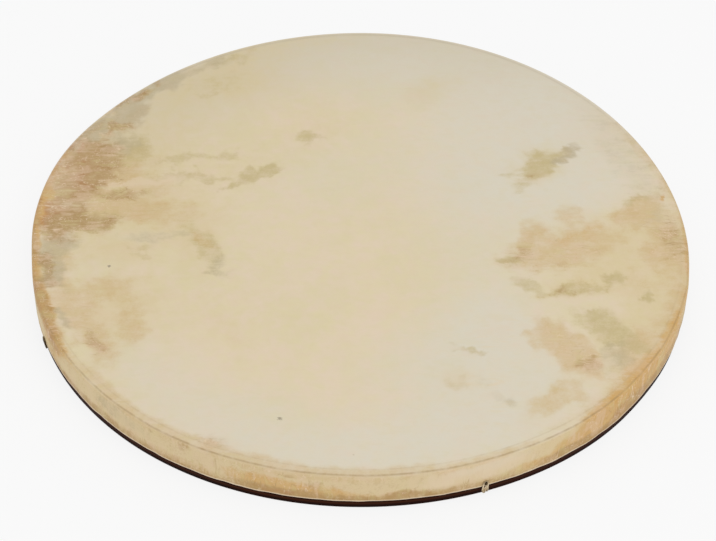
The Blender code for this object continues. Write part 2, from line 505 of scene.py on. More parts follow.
# how each knot lies: its own sideways, outwards and upwards as sums of those three of the route
UPRIGHT = np.eye(3)
LEANING = np.array([
    (-1.00, 0.00, 0.00),
    (0.00, 0.90, 0.00),
    (-0.12, 0.10, 0.84),
])


def through(points, spacing):
    """A smooth curve: each span is a cubic, steered by the points before and after it."""
    before = np.concatenate([points[:1], points[:-2]])
    after = np.concatenate([points[2:], points[-1:]])
    start, end = points[:-1], points[1:]
    lengths = np.linalg.norm(end - start, axis=1)
    stations = []
    for span, length in enumerate(lengths):
        steps = max(round(length / spacing), 2)
        t = np.arange(steps)[:, None] / steps
        first = start[span] + (end[span] - before[span]) / 6
        last = end[span] - (after[span] - start[span]) / 6
        stations.append(
            (1 - t) ** 3 * start[span] + 3 * (1 - t) ** 2 * t * first
            + 3 * (1 - t) * t**2 * last + t**3 * end[span]
        )
    return np.concatenate([*stations, points[-1:]])


def knot_corners(angle, lie):
    """The knot's corners outside that hole, each with the strand's width as a fourth number."""
    outwards = np.array([math.cos(angle), math.sin(angle), 0.0])
    sideways = np.array([-math.sin(angle), math.cos(angle), 0.0])
    hole = outwards * RADIUS * float(share(angle)) + UP * THONG_HEIGHT
    directions = np.stack([sideways, outwards, UP])
    places = hole + KNOT_ROUTE[:, :3] @ lie @ directions * THONG
    return np.column_stack([places, KNOT_ROUTE[:, 3] * THONG])


def thong_route(angle, middle_height, lie):
    """A knot, the sagging run across the back, and the knot on the other side: places and widths."""
    along = np.array([math.cos(angle), math.sin(angle), 0.0])
    part = 1 - 2 * np.arange(GRIP_STEPS)[:, None] / (GRIP_STEPS - 1)
    height = middle_height + (THONG_HEIGHT - middle_height) * part**2
    places = part * along * HOOP_INNER + height * UP
    run = np.column_stack([places, np.full(GRIP_STEPS, THONG)])
    first = through(knot_corners(angle, lie), KNOT_SPACING)
    last = through(knot_corners(angle + math.pi, lie), KNOT_SPACING)
    whole = np.concatenate([first[::-1], through(run, RUN_SPACING), last])
    return whole[:, :3], whole[:, 3]


# %% [markdown]
# The strip is swept along its route. Each station needs two directions square to the route that
# don't spin on the way, so each pair is carried on from the one before. The section has two lobes,
# which turn as it goes, and that turn is what makes the strip look twisted.

# %% The strip swept along it
SIDES = 14
TWIST_PITCH = 0.0085
LOBE = 0.09
DARKENED_END = 0.06
END_LENGTH = 0.0012


def carried_frames(route):
    """Two directions square to the route at each station, carried along it without spinning."""
    tangent = np.gradient(route, axis=0)
    tangent /= np.linalg.norm(tangent, axis=1)[:, None]
    side = np.cross(tangent[0], UP)
    sides = []
    for direction in tangent:
        side = side - direction * (side @ direction)
        side = side / np.linalg.norm(side)
        sides.append(side)
    sides = np.array(sides)
    return sides, np.cross(tangent, sides)


def strip_points(route, width, run):
    """The strip's surface: one ring of points for each station, and how far each lies off a lobe.

    A ring's radius is half the strand's width times 0.97 + LOBE cos(2 turn - twist), less at both
    ends. Whatever lies outside the hide is then pressed towards it.
    """
    turn = np.linspace(0, math.tau, SIDES, endpoint=False)
    twist = (math.tau * run / TWIST_PITCH + 1.1 * np.sin(run / 0.021))[:, None]
    ends = np.minimum(run, run[-1] - run)[:, None]
    rounded = 0.55 + 0.45 * smooth_step(ends, 0, END_LENGTH)
    radius = width[:, None] / 2 * (0.97 + LOBE * np.cos(2 * turn - twist)) * rounded
    first_side, second_side = carried_frames(route)
    offsets = np.cos(turn)[:, None] * first_side[:, None] + np.sin(turn)[:, None] * second_side[:, None]
    points = route[:, None] + radius[..., None] * offsets
    distance = np.hypot(points[..., 0], points[..., 1])
    hide = RADIUS * share(np.arctan2(points[..., 1], points[..., 0]))
    flatter = np.where(distance > hide, (hide + PRESSED * (distance - hide)) / distance, 1.0)
    points[..., :2] *= flatter[..., None]
    return points, turn - twist / 2


def darkening_along(route, run, darkening):
    """How dark each station is: that much towards the last knot, and fully inside both holes as painted
    shade.
    """
    towards_end = darkening * smooth_step(run, run[-1] - DARKENED_END, run[-1] - DARKENED_END + 0.02)
    out = np.hypot(route[:, 0], route[:, 1]) - RADIUS * share(np.arctan2(route[:, 1], route[:, 0]))
    past_wall = smooth_step(out, -HOOP_WALL - HIDE, -HOOP_WALL)
    # inside the holes the strand is painted black as shade
    before_knot = smooth_step(out, 0.66 * THONG, 0.46 * THONG)
    return np.maximum(towards_end, past_wall * before_knot)


def make_thong(name, angle, middle_height, lie, darkening):
    """One thong: its rings joined into a tube that closes in a point at both ends."""
    route, width = thong_route(angle, middle_height, lie)
    run = np.concatenate([[0], np.cumsum(np.linalg.norm(np.diff(route, axis=0), axis=1))])
    points, off_lobe = strip_points(route, width, run)
    count = len(route) * SIDES
    index = np.arange(count).reshape(-1, SIDES)
    faces = [cells(index).reshape(-1, 4)]
    for ring, middle in ((index[0], count), (index[-1], count + 1)):
        faces.append(np.stack([ring, np.roll(ring, -1), np.full(SIDES, middle)], -1))
    everything = np.concatenate([points.reshape(-1, 3), route[[0, -1]]])
    thong, used = make_piece(name, everything, *faces)
    fold = np.cos(2 * np.concatenate([off_lobe.ravel(), [0.0, 0.0]]))
    paint(thong, "fold", fold[used])
    darkened_rings = np.repeat(darkening_along(route, run, darkening), SIDES)
    paint(thong, "darkening", np.concatenate([darkened_rings, [0.0, darkening]])[used])
    print(name, "is", round(float(run[-1]), 3), "m long")
    return thong


lower_middle = THONG_HEIGHT - GRIP_SAG
lower_thong = make_thong("lower_grip_thong", LOWER_THONG_ANGLE, lower_middle, LEANING, darkening=1.0)
upper_middle = lower_middle + THONG + FIT
upper_thong = make_thong("upper_grip_thong", UPPER_THONG_ANGLE, upper_middle, UPRIGHT, darkening=0.10)

# %% [markdown]
# ## Shader nodes as sums
#
# A finish is a graph of small nodes. Written out one by one, the graph hides the idea, so a socket is
# wrapped in a small class whose operators add the Math nodes: `mask * 0.5 + 1` builds two of them.
# All other nodes come from one method, which takes the node's type, its settings and its inputs.

# %% A socket that can be added and multiplied


class Signal:
    """A node's output. Sums with numbers and other signals add Math nodes."""

    def __init__(self, finish, socket):
        self.finish = finish
        self.socket = socket

    def math(self, operation, *values):
        """One Math node, whose inputs are numbers or signals."""
        return self.finish.node("Math", {"operation": operation}, dict(enumerate(values)))

    def __add__(self, other):
        return self.math("ADD", self, other)

    def __sub__(self, other):
        return self.math("SUBTRACT", self, other)

    def __mul__(self, other):
        return self.math("MULTIPLY", self, other)

    def size(self):
        """The value without its sign."""
        return self.math("ABSOLUTE", self)

    def step(self, low, high, first=0.0, last=1.0):
        """A smooth turn from first to last as the value goes from low to high."""
        settings = {"interpolation_type": "SMOOTHSTEP"}
        ends = {"Value": self, "From Min": low, "From Max": high, "To Min": first, "To Max": last}
        return self.finish.node("MapRange", settings, ends)

    def line(self, middle, half_width):
        """1 where the value is at the middle, falling to 0 at half a width on either side."""
        return (self - middle).size().step(half_width, 0.0)


class Finish:
    """One material: its nodes, and the Principled shader that they feed."""

    def __init__(self, name):
        self.material = bpy.data.materials.new(name)
        self.material.use_nodes = True
        self.tree = self.material.node_tree
        self.shader = self.tree.nodes["Principled BSDF"]
        self.place = self.node("TexCoord", out="Object")
        self.colour = None

    def node(self, kind, settings=None, inputs=None, out=0):
        """Adds a node, sets it, then gives its inputs values or links, and returns one output."""
        made = self.tree.nodes.new("ShaderNode" + kind)
        for name, value in (settings or {}).items():
            setattr(made, name, value)
        for name, value in (inputs or {}).items():
            self.feed(made.inputs[name], value)
        return Signal(self, made.outputs[out])

    def feed(self, socket, value):
        """Links a signal to a socket, or sets the socket to a number, a vector or a colour."""
        if isinstance(value, Signal):
            self.tree.links.new(value.socket, socket)
        elif socket.type == "RGBA":
            socket.default_value = (*value[:3], 1.0)
        else:
            socket.default_value = value

    def give(self, **values):
        """Sets or links the shader's own sockets. Underscores in their names stand for spaces."""
        for name, value in values.items():
            self.feed(self.shader.inputs[name.replace("_", " ")], value)

    def mix(self, first, second, amount):
        """Two colours mixed by an amount between 0 and 1."""
        settings = {"data_type": "RGBA", "clamp_factor": True}
        return self.node("Mix", settings, {0: amount, 6: first, 7: second}, out=2)

    def over(self, shade, amount):
        """Lays one more coat of colour over all that the finish has so far."""
        self.colour = self.mix(self.colour, shade, amount)

    def vector(self, operation, first, second):
        """Vector Math on two vectors, either of which may be three numbers."""
        return self.node("VectorMath", {"operation": operation}, {0: first, 1: second})

    def length(self, vector):
        """The length of a vector, as a number."""
        return self.node("VectorMath", {"operation": "LENGTH"}, {0: vector}, out="Value")

    def noise(self, place, scale, detail, roughness, **more):
        """Soft noise between 0 and 1. Given W, a fourth coordinate, it has four dimensions."""
        settings = {"noise_dimensions": "4D"} if "W" in more else {}
        inputs = {"Vector": place, "Scale": scale, "Detail": detail, "Roughness": roughness}
        return self.node("TexNoise", settings, {**inputs, **more})

    def attribute(self, name):
        """One of the numbers that were painted on the piece's points."""
        return self.node("Attribute", {"attribute_name": name}, out="Fac")

    def bump(self, height, distance, strength, normal=None):
        """Tilts the surface as if the height, in that many metres, stood on it."""
        inputs = {"Height": height, "Distance": distance, "Strength": strength}
        if normal is not None:
            inputs["Normal"] = normal
        return self.node("Bump", {}, inputs)

    def wear(self, piece, slot):
        """Puts the finish on a piece. The slot is not used."""
        piece.data.materials.clear()
        piece.data.materials.append(self.material)


# %% [markdown]
# ## Where the hide is stained, and where a sheen is painted
#
# Scraped hide is cream, and it is never even: fat and blood leave brown, tan and olive stains with
# ragged edges, and some places are pale and cool. The cool wash is partly pale hide and partly a
# painted sheen of the sky on the top. Such stains could be noise alone, but then they would fall
# anywhere. Here each stain is an oval with a place, a half length, a half width and a turn, and
# stains of one colour make one wash. The ovals are worked out on the head's points as a number from
# 0 to 1, and the finish tears their edges later. Places are as seen from above.

# %% The stains on the head
# wash: (x, y, half length, half width, turn in degrees, strength), in millimetres and percent
STAINS = {
    # cool: pale cool patches in the hide, and a painted sheen of the sky on the top
    "cool_sheen": (
        (190, 85, 100, 80, 40, 95), (110, 195, 110, 60, -30, 55), (60, -150, 50, 40, 60, 95),
        (20, -235, 100, 45, 10, 100), (-80, -235, 80, 30, -15, 70), (-160, -200, 90, 50, -40, 60),
        (-205, -120, 40, 80, 20, 40), (205, -10, 60, 50, 0, 80), (125, 20, 60, 70, 0, 60),
        (138, 0, 22, 18, 0, 45), (80, -70, 60, 60, 0, 34), (10, -170, 70, 50, 0, 60),
        (0, 80, 70, 60, 0, 35), (-225, -75, 20, 40, 0, 20), (170, -150, 30, 10, -5, 30),
        (-225, 35, 35, 18, -15, 25), (-175, 55, 30, 10, -15, 60),
    ),
    "straw": (
        (-95, 165, 80, 66, 35, 32), (-104, 200, 34, 26, 30, 50), (-34, 235, 46, 28, -20, 85),
        (-50, 230, 34, 18, -10, 75), (-200, 110, 20, 10, -15, 40), (-150, -55, 70, 60, 0, 30),
        (-165, 85, 50, 22, -18, 100), (-200, 48, 34, 16, -12, 95), (-155, 50, 24, 18, 0, 40),
        (-140, 66, 28, 24, -35, 100), (-212, -10, 34, 30, 0, 85), (-222, -38, 22, 28, 0, 65),
        (-190, 135, 75, 55, 50, 85), (-150, 168, 24, 34, 20, 90), (175, -125, 60, 20, -5, 100),
        (205, -160, 30, 40, -20, 100), (70, -240, 40, 14, 20, 60), (203, -97, 30, 40, 0, 100),
        (240, -80, 26, 50, 0, 55), (10, -190, 22, 12, -50, 50), (-80, 110, 60, 22, 0, 45),
        (-135, 40, 20, 34, 0, 80), (-140, -80, 12, 30, 10, 35), (10, 145, 44, 34, 0, 50),
        (130, 158, 34, 18, 20, 62), (155, -200, 30, 40, -50, 80), (178, 30, 26, 22, 30, 100),
        (10, 266, 110, 22, 0, 52), (-62, 248, 60, 20, 20, 95),
    ),
    "tan": (
        (155, -80, 54, 26, -6, 72), (130, -58, 26, 11, 50, 75), (176, -46, 18, 14, 60, 55),
        (150, -104, 40, 11, -5, 20), (240, -108, 22, 36, -20, 82), (238, -62, 28, 18, 30, 80),
        (102, -174, 20, 22, 10, 85), (112, -202, 18, 26, 10, 88), (76, -238, 28, 10, 15, 55),
        (160, -212, 34, 12, 40, 70), (-228, 6, 22, 12, 0, 60), (-208, -12, 10, 26, 10, 50),
        (-214, -45, 14, 22, 0, 60), (-240, -40, 20, 26, 0, 35), (-252, -20, 18, 60, 8, 68),
        (-195, 12, 12, 34, 12, 12), (-252, 50, 16, 30, 0, 62), (-205, 135, 66, 46, 50, 100),
        (-165, 118, 36, 18, -20, 60), (-150, 205, 34, 10, 35, 70), (-175, 212, 60, 8, 38, 40),
        (140, -130, 36, 10, -12, 42), (-172, 88, 36, 15, -14, 75), (-146, 72, 24, 18, -30, 45),
        (196, -140, 26, 20, 0, 35),
    ),
    "amber": (
        (-255, 112, 50, 6, 68, 80), (-225, 168, 50, 5, 50, 70), (266, -50, 5, 3, 30, 100),
        (-132, 38, 5, 12, 8, 50), (165, -72, 30, 10, -8, 30),
    ),
    "olive": (
        (-131, 30, 10, 28, 8, 60), (-60, 104, 26, 8, 8, 80), (-88, 96, 14, 5, 20, 70),
        (-112, 138, 46, 6, -14, 56), (-118, 118, 34, 5, -20, 60), (-2, 136, 6, 10, 12, 75),
        (6, 129, 8, 4, 10, 55), (177, 32, 18, 16, 25, 95), (190, 32, 10, 10, 60, 90),
        (164, 13, 16, 10, 40, 55), (148, 30, 12, 4, -10, 60), (206, 37, 13, 5, 22, 90),
        (108, -110, 19, 8, -52, 60), (122, -124, 18, 7, -30, 55), (142, -131, 26, 8, -12, 68),
        (180, -128, 12, 6, 30, 100), (165, -137, 20, 5, 5, 60), (152, -186, 36, 14, -58, 74),
        (160, -204, 18, 10, -50, 80), (32, -163, 16, 4, -40, 70), (10, -195, 10, 6, -50, 45),
        (-178, 40, 14, 5, 0, 45), (195, -159, 5, 4, 0, 100), (144, -163, 4, 5, 0, 100),
        (106, -71, 7, 5, 0, 90), (-30, 262, 30, 6, 5, 50), (-52, 234, 30, 12, -10, 34),
        (-66, 222, 10, 4, -25, 50), (237, -45, 18, 4, 20, 60), (-148, 172, 22, 16, 60, 70),
        (-222, 88, 32, 14, -10, 60),
    ),
    "grey": (
        (-140, 220, 16, 22, -25, 100), (-174, 204, 34, 11, 32, 100), (-155, 184, 16, 16, 15, 65),
        (-104, 250, 34, 12, 25, 95), (-60, 262, 30, 8, 10, 60), (-257, 36, 12, 21, -5, 100),
        (-250, 68, 20, 14, -10, 90), (-265, -18, 6, 14, 0, 90), (-125, 2, 9, 12, 5, 55),
        (210, 36, 14, 6, 22, 100), (145, -212, 22, 12, 40, 58), (258, 0, 20, 90, 0, 36),
        (-166, 52, 30, 7, -14, 50), (30, -200, 6, 12, 0, 30), (40, -225, 5, 10, 30, 50),
        (244, -74, 14, 5, 10, 50),
    ),
    "brown": (
        (-184, 166, 30, 21, 60, 100), (-237, 98, 28, 18, 70, 95), (-220, 86, 28, 12, -12, 66),
        (-220, 130, 30, 22, 50, 80), (-200, 142, 22, 14, 40, 95), (-185, 115, 32, 10, -18, 68),
        (118, -214, 10, 9, 20, 70), (116, -72, 18, 8, 30, 45), (150, -94, 40, 12, -6, 18),
        (245, -105, 16, 26, -20, 48), (126, -127, 14, 4, -20, 45), (-134, 238, 16, 6, 30, 80),
        (-152, 203, 12, 6, 30, 90), (-108, 252, 8, 5, 30, 60), (-260, 50, 9, 16, 0, 80),
        (-262, 30, 8, 12, 0, 75), (-194, -190, 16, 9, -45, 42), (-253, -52, 7, 16, 15, 55),
        (168, 22, 8, 5, 30, 45),
    ),
    "rust": (
        (-188, 184, 7, 5, 60, 100), (-206, 150, 30, 14, 45, 55), (-246, 116, 26, 8, 62, 70),
        (-214, 172, 44, 8, 50, 60), (118, -216, 6, 6, 0, 20),
    ),
    "pale": (
        (-222, 152, 46, 14, 52, 55), (-222, 112, 30, 10, -15, 60), (-160, 126, 36, 7, -12, 85),
        (-170, 60, 36, 8, -18, 40), (-232, -22, 16, 10, 10, 50), (160, -80, 46, 24, -6, 30),
        (104, -185, 18, 30, 10, 40), (115, -225, 26, 12, 15, 50), (60, -150, 22, 22, 0, 40),
        (20, -210, 30, 30, 0, 36), (165, -150, 32, 8, -5, 50), (240, -76, 14, 6, 0, 50),
    ),
}
SOFT = ("cool_sheen", "straw")
MM, PERCENT = 0.001, 0.01
# shortest wave, longest wave and how far they push, in metres
PUSHES = ((0.045, 0.140, 0.0026), (0.015, 0.045, 0.0024), (0.006, 0.015, 0.0013))


def ripple(points, shortest, longest, seed, waves=22):
    """A wandering number for each point: a sum of plane waves whose lengths and headings are random."""
    dice = np.random.default_rng(seed)
    headings = dice.normal(size=(3, waves))
    headings /= np.linalg.norm(headings, axis=0)
    lengths = np.exp(dice.uniform(math.log(shortest), math.log(longest), waves))
    phases = dice.uniform(0, math.tau, waves)
    return np.cos(points @ (math.tau * headings / lengths) + phases).sum(1) * math.sqrt(2 / waves)


def torn(points):
    """The points pushed about by long, middling and short waves, so that ovals lose their shape."""
    moved = points.copy()
    for size, (shortest, longest, amount) in enumerate(PUSHES):
        for axis in range(3):
            moved[:, axis] += amount * ripple(points, shortest, longest, 10 * size + axis)
    return moved


def stain_field(points, stains, soft):
    """The strongest stain at each point. A stain is full inside, and fades across its oval's edge.

    The point's place is turned into the oval's own axes and divided by its half sizes, and the sum
    of the squares of the two says how far out the point is, with 1 on the oval. Soft stains fall off
    as a bell all the way from the middle, and add up.
    """
    units = (MM, MM, MM, MM, 1, PERCENT)
    x, y, half_length, half_width, degrees, strength = (np.array(stains) * units).T
    turn = np.radians(degrees)
    away_x, away_y = points[:, :1] - x, points[:, 1:2] - y
    along = (away_x * np.cos(turn) + away_y * np.sin(turn)) / half_length
    across = (away_y * np.cos(turn) - away_x * np.sin(turn)) / half_width
    reach = along**2 + across**2
    if soft:
        return 1 - (1 - strength * np.exp(-0.9 * reach)).prod(1)
    return (strength * smooth_step(reach, 2.0, 0.1)).max(1)


# %% [markdown]
# The skirt has stains of its own: dirt along the cut edge, and amber where the hide was handled.
# Round the side a place is an angle and a distance past the middle of the shoulder's bend.

# %% The stains on the skirt and the shoulder
# wash: (angle in degrees, distance past the shoulder, half length round, half height, strength)
SKIRT_STAINS = {
    "tan": (
        (186, 10, 22, 14, 90), (237, 18, 40, 11, 90), (300, 12, 70, 20, 100),
        (318, 12, 40, 18, 80), (265, 22.5, 80, 6, 70), (215, 22.5, 80, 6, 60),
        (165, -1, 130, 6, 90), (148, 10, 120, 16, 70), (-15, -0.5, 110, 5, 80),
        (-35, 4, 80, 14, 80), (120, 18, 90, 10, 60), (30, 20, 110, 9, 60),
        (75, 12, 60, 12, 60), (-10, 16, 60, 10, 60), (228, -3, 200, 8, 66),
        (180, 0, 60, 12, 90), (310, -6, 130, 12, 62), (264, -2, 90, 4.5, 60),
        (140, -6, 130, 10, 60), (350, -4, 120, 6, 50),
    ),
    "amber": (
        (186, 11, 14, 13, 75), (237, 17, 42, 11, 72), (284, 17, 14, 10, 70),
        (292, 15, 34, 20, 100), (301, 12, 60, 22, 100), (314, 14, 40, 16, 80),
        (300, -2, 40, 5, 70), (252, 22.5, 40, 5, 60), (282, 22.5, 34, 5, 65),
        (297, 20.5, 70, 9, 100), (243, 20.5, 44, 7, 75), (178, -1, 70, 8, 95),
        (150, -1, 80, 5, 85), (-25, -1, 60, 3, 60), (-45, 6, 60, 12, 70),
        (105, 20, 60, 7, 55), (15, 20, 50, 7, 55),
    ),
    "brown": (
        (198, 24, 60, 3.5, 70), (214, 24.5, 40, 3, 60), (221, 7, 5, 7, 50),
        (226.5, 12, 4, 6, 55), (238, 0.5, 6, 2, 80), (236, 22, 26, 5.5, 100),
        (242.5, 11, 6, 7, 50), (254, 23, 60, 4.5, 95), (266, 24.5, 40, 3, 60),
        (258, 8, 5, 5, 50), (192, 25, 30, 4, 90), (287, 22.5, 34, 5, 100),
        (299, 18, 24, 11, 65), (308, 21, 40, 6, 85), (296, 24, 50, 4, 95),
        (322, 23.5, 50, 5, 90), (306, 23.5, 50, 6, 90), (238, 22.5, 40, 5.5, 90),
        (186, 8, 10, 12, 70), (180, -1, 50, 8, 75), (163, -1, 60, 6, 55),
        (138, -2, 60, 7, 55), (160, 24, 60, 4, 70), (100, 23, 50, 4, 70),
        (45, 23.5, 60, 3.5, 70), (0, 23.5, 60, 3.5, 65),
    ),
    "rust": (
        (236.5, 23, 10, 3.2, 90), (298, 20, 14, 8, 50), (180, 2, 50, 6, 50),
        (152, -1, 50, 3, 50), (305, 22.5, 18, 4, 60),
    ),
    # cool: pale, and partly a painted sheen, at the front of the shoulder
    "cool_sheen": (
        (270, 4, 40, 8, 50),
    ),
    "pale": (
        (268, 10.5, 56, 11, 85),
    ),
    "grey": (
        (176, 10, 10, 12, 60), (207, 10, 30, 8, 40), (90, 10, 50, 8, 45),
    ),
}


def skirt_field(angle, past, stains):
    """The same ovals round the side, where places are an angle and a distance past the shoulder."""
    units = (1, MM, MM, MM, PERCENT)
    degrees, middle, half_length, half_height, strength = (np.array(stains) * units).T
    away = (angle[:, None] - np.radians(degrees) + math.pi) % math.tau - math.pi
    reach = (away * RADIUS / half_length) ** 2 + ((past[:, None] - middle) / half_height) ** 2
    return (strength * smooth_step(reach, 1.9, 0.1)).max(1)


def stain_head(head):
    """Works out every wash on the head's points and keeps it with them."""
    points = points_of(head)
    past = painted(head, "past_shoulder")
    inner = painted(head, "inside")
    moved = torn(points)
    angle = np.arctan2(moved[:, 1], moved[:, 0])
    past_moved = past + 0.4 * (moved - points)[:, 2]
    top_only = smooth_step(past, 0.004, -0.001)
    for wash in STAINS:
        field = stain_field(moved, STAINS[wash], wash in SOFT) * (0.3 + 0.7 * top_only)
        if wash in SKIRT_STAINS:
            field = np.maximum(field, skirt_field(angle, past_moved, SKIRT_STAINS[wash]))
        paint(head, "wash_" + wash, field * (1 - inner))
        print("wash", wash, "covers", round(100 * float((field > 0.5).mean()), 1), "% of the points")
    # how strong the rim's painted shade lines are: strongest where the rim faces the front
    paint(head, "crease_shade", smooth_step(np.cos(angle - math.radians(255)), -0.1, 0.8))
    # painted shade: the far rim is darkened
    far_edge = smooth_step(np.cos(angle - math.radians(75)), 0.1, 0.9)
    paint(head, "far_shade", far_edge * smooth_step(past, -0.130, -0.010))


stain_head(head)

# %% [markdown]
# ## Rawhide
#
# The hide's colour is laid on in coats, from the cream ground up to the lines round the rim. All of
# them read the same few noises, so that they belong together. Clouds, mottle and grit go from large
# to small. Fibres and strokes are stretched along the grain on top, and down the side on the skirt.

# %% The noises that the hide's coats share
GRAIN_TURN = math.radians(-20)


def along_grain(finish, skirt):
    """Object coordinates, squeezed five times along the grain on top, and down the side on the skirt."""
    settings = {"vector_type": "TEXTURE"}
    turned = {"Vector": finish.place, "Rotation": (0.0, 0.0, GRAIN_TURN), "Scale": (5.0, 1.0, 1.0)}
    top = finish.node("Mapping", settings, turned)
    side = finish.vector("MULTIPLY", finish.place, (1.0, 1.0, 0.22))
    return finish.node("Mix", {"data_type": "VECTOR"}, {0: skirt, 4: top, 5: side}, out=1)


hide = Finish("scraped_rawhide")
past = hide.attribute("past_shoulder")
skirt = past.step(-0.0012, 0.0012)
clouds = hide.noise(hide.place, 17.0, 3.0, 0.6)
mottle = hide.noise(hide.place, 80.0, 4.0, 0.62)
grit = hide.noise(hide.place, 560.0, 2.0, 0.6)
lengthwise = along_grain(hide, skirt)
fibres = hide.noise(lengthwise, 200.0, 3.0, 0.65, Distortion=0.8)
strokes = hide.noise(lengthwise, 150.0, 1.0, 0.4, Distortion=1.2)
print("the hide's noises take", len(hide.tree.nodes), "nodes")

# %% [markdown]
# The ground is two creams, in clouds, with faint yellow and rose patches that keep the plain parts
# from looking painted. The skirt is browner, and painted grey shade darkens the far rim.

# %% The ground
PINK_CREAM = (0.716, 0.596, 0.428)
YELLOW_CREAM = (0.682, 0.588, 0.380)
YELLOW_HUE = (0.695, 0.615, 0.360)
ROSE_HUE = (0.735, 0.585, 0.480)
SKIRT_TAN = (0.650, 0.505, 0.282)
SKIRT_GRIME = (0.520, 0.370, 0.180)
FAR_SHADE_GREY = (0.560, 0.510, 0.400)

hide.colour = hide.mix(PINK_CREAM, YELLOW_CREAM, (clouds + mottle * 0.5).step(0.52, 0.98))
hues = hide.noise(hide.place, 95.0, 2.0, 0.5)
hide.over(YELLOW_HUE, hues.step(0.50, 0.64) * 0.24)
hide.over(ROSE_HUE, hues.step(0.50, 0.36) * 0.24)
hide.over(SKIRT_TAN, skirt * 0.92)
hide.over(SKIRT_GRIME, skirt * (grit + mottle).step(0.98, 1.28) * 0.45)
# painted shade darkens the far rim
far_shade = hide.attribute("far_shade")
hide.over(FAR_SHADE_GREY, far_shade * 0.62)

# %% [markdown]
# Each wash is read from the points, and noise is added to it. Its edge is where the sum passes a
# threshold, so a strong stain gets a torn edge, and a weak one breaks up into speckles. Part of the
# wash has soaked in, and shows without an edge.

# %% The washes
# wash: (colour, opacity, how ragged, how streaky, where its edge begins and ends)
WASHES = {
    # the cool wash is partly a painted sheen
    "cool_sheen": ((0.668, 0.622, 0.518), 0.90, 0.20, 0.0, 0.00, 1.00),
    "straw": ((0.645, 0.525, 0.295), 0.70, 0.50, 0.3, 0.05, 1.00),
    "tan": ((0.590, 0.425, 0.212), 0.90, 0.80, 0.6, 0.12, 0.92),
    "amber": ((0.580, 0.326, 0.086), 0.92, 0.80, 0.8, 0.14, 0.90),
    "olive": ((0.500, 0.402, 0.190), 0.82, 0.85, 1.0, 0.12, 0.95),
    "grey": ((0.470, 0.392, 0.250), 0.82, 0.85, 1.0, 0.12, 0.95),
    "brown": ((0.388, 0.234, 0.088), 0.88, 1.00, 1.0, 0.20, 0.92),
    "rust": ((0.420, 0.180, 0.080), 0.60, 1.20, 1.2, 0.34, 0.90),
    "pale": ((0.715, 0.575, 0.400), 0.80, 0.60, 2.2, 0.42, 0.90),
}
SOAKED = 0.45

fields = {wash: hide.attribute("wash_" + wash) for wash in WASHES}
tone = (mottle * 0.8 + clouds * 0.5 + grit * 0.3).step(0.60, 1.00, 0.70, 1.0)
grain = (mottle - 0.5) * 1.5 + (grit - 0.5) * 0.5
streak = (fibres - 0.5) * 0.6 + (strokes - 0.5) * 0.6
for wash, (shade, opacity, ragged, streaky, low, high) in WASHES.items():
    torn_edge = (fields[wash] + grain * ragged + streak * streaky).step(low, high)
    torn_edge = torn_edge * fields[wash].step(0.00, 0.16)
    coat_weight = fields[wash].step(0.05, 1.0)
    hide.over(shade, (torn_edge * (1 - SOAKED) + coat_weight * SOAKED) * tone * opacity)
print("with", len(WASHES), "washes it has", len(hide.tree.nodes), "nodes")

# %% [markdown]
# Marks are strongest where the hide is stained. Thin lines come from noise: they lie where it passes
# one value. Small specks are the middles of a few cells of a Voronoi pattern, where a cell is chosen
# by its random colour. The two largest dots of dirt have places of their own.

# %% Tints, scratches and specks
STRAW_TINT = (0.610, 0.520, 0.250)
PINK_TINT = (0.690, 0.500, 0.345)
PALE_SCRATCH = (0.750, 0.590, 0.400)
DARK_GOUGE = (0.400, 0.250, 0.110)
PALE_CURL = (0.760, 0.600, 0.420)
BROWN_FIBRE = (0.480, 0.350, 0.180)
GREY_SPECK = (0.330, 0.250, 0.140)
GREY_DOT = (0.270, 0.225, 0.160)
SPECK_CELL = {"Vector": hide.place, "Scale": 85.0, "Randomness": 1.0}
# x, y and radius
DOTS = ((-0.1350, -0.1830, 0.0022), (-0.2130, 0.0300, 0.0016))

stained = (fields["brown"] + fields["tan"] * 0.7 + skirt * 0.4).step(0.2, 1.0)
tints = hide.noise(hide.place, 55.0, 3.0, 0.6) * 0.65 + strokes * 0.35
scratch = strokes.line(0.47, 0.020) * mottle.step(0.44, 0.58)
gouge = strokes.line(0.57, 0.022) * mottle.step(0.52, 0.40)
curl = (mottle + grit * 0.12).line(0.60, 0.026) * grit.step(0.40, 0.60)
# colour, mark, strength on stains and strength elsewhere
MARKS = (
    (STRAW_TINT, tints.step(0.51, 0.62), 0.30, 0.09),
    (PINK_TINT, tints.step(0.49, 0.38), 0.30, 0.09),
    (PALE_SCRATCH, scratch, 0.80, 0.03),
    (DARK_GOUGE, gouge, 0.70, 0.03),
    (PALE_CURL, curl, 0.50, 0.00),
    (BROWN_FIBRE, fibres.step(0.60, 0.80), 0.35, 0.02),
)
for shade, mark, on_stains, elsewhere in MARKS:
    hide.over(shade, mark * (stained * on_stains + elsewhere))
to_middle = hide.node("TexVoronoi", {}, SPECK_CELL)
cell_colour = hide.node("TexVoronoi", {}, SPECK_CELL, out="Color")
chosen = hide.node("SeparateColor", {}, {"Color": cell_colour})
hide.over(GREY_SPECK, to_middle.step(0.12, 0.04) * chosen.step(0.988, 0.994) * 0.5)
for x, y, radius in DOTS:
    away = hide.length(hide.vector("SUBTRACT", hide.place, (x, y, TOP - STEP_DEPTH)))
    dot = (away + (grit - 0.5) * radius * 2).step(radius, radius * 0.4)
    hide.over(GREY_DOT, dot * 0.75)

# %% [markdown]
# Fine lines of painted shade run round the rim: along the crease over the shoulder, and along the
# step where the hoop's inner edge lies beneath, both strongest at the front. At the far side, where
# the light grazes it, lie a painted shade line and a painted highlight. Dirt gathers above the cut
# edge, a thin painted shade line lies just above the edge, and the edge itself gets a painted
# highlight. The wobble keeps the lines from being true circles.

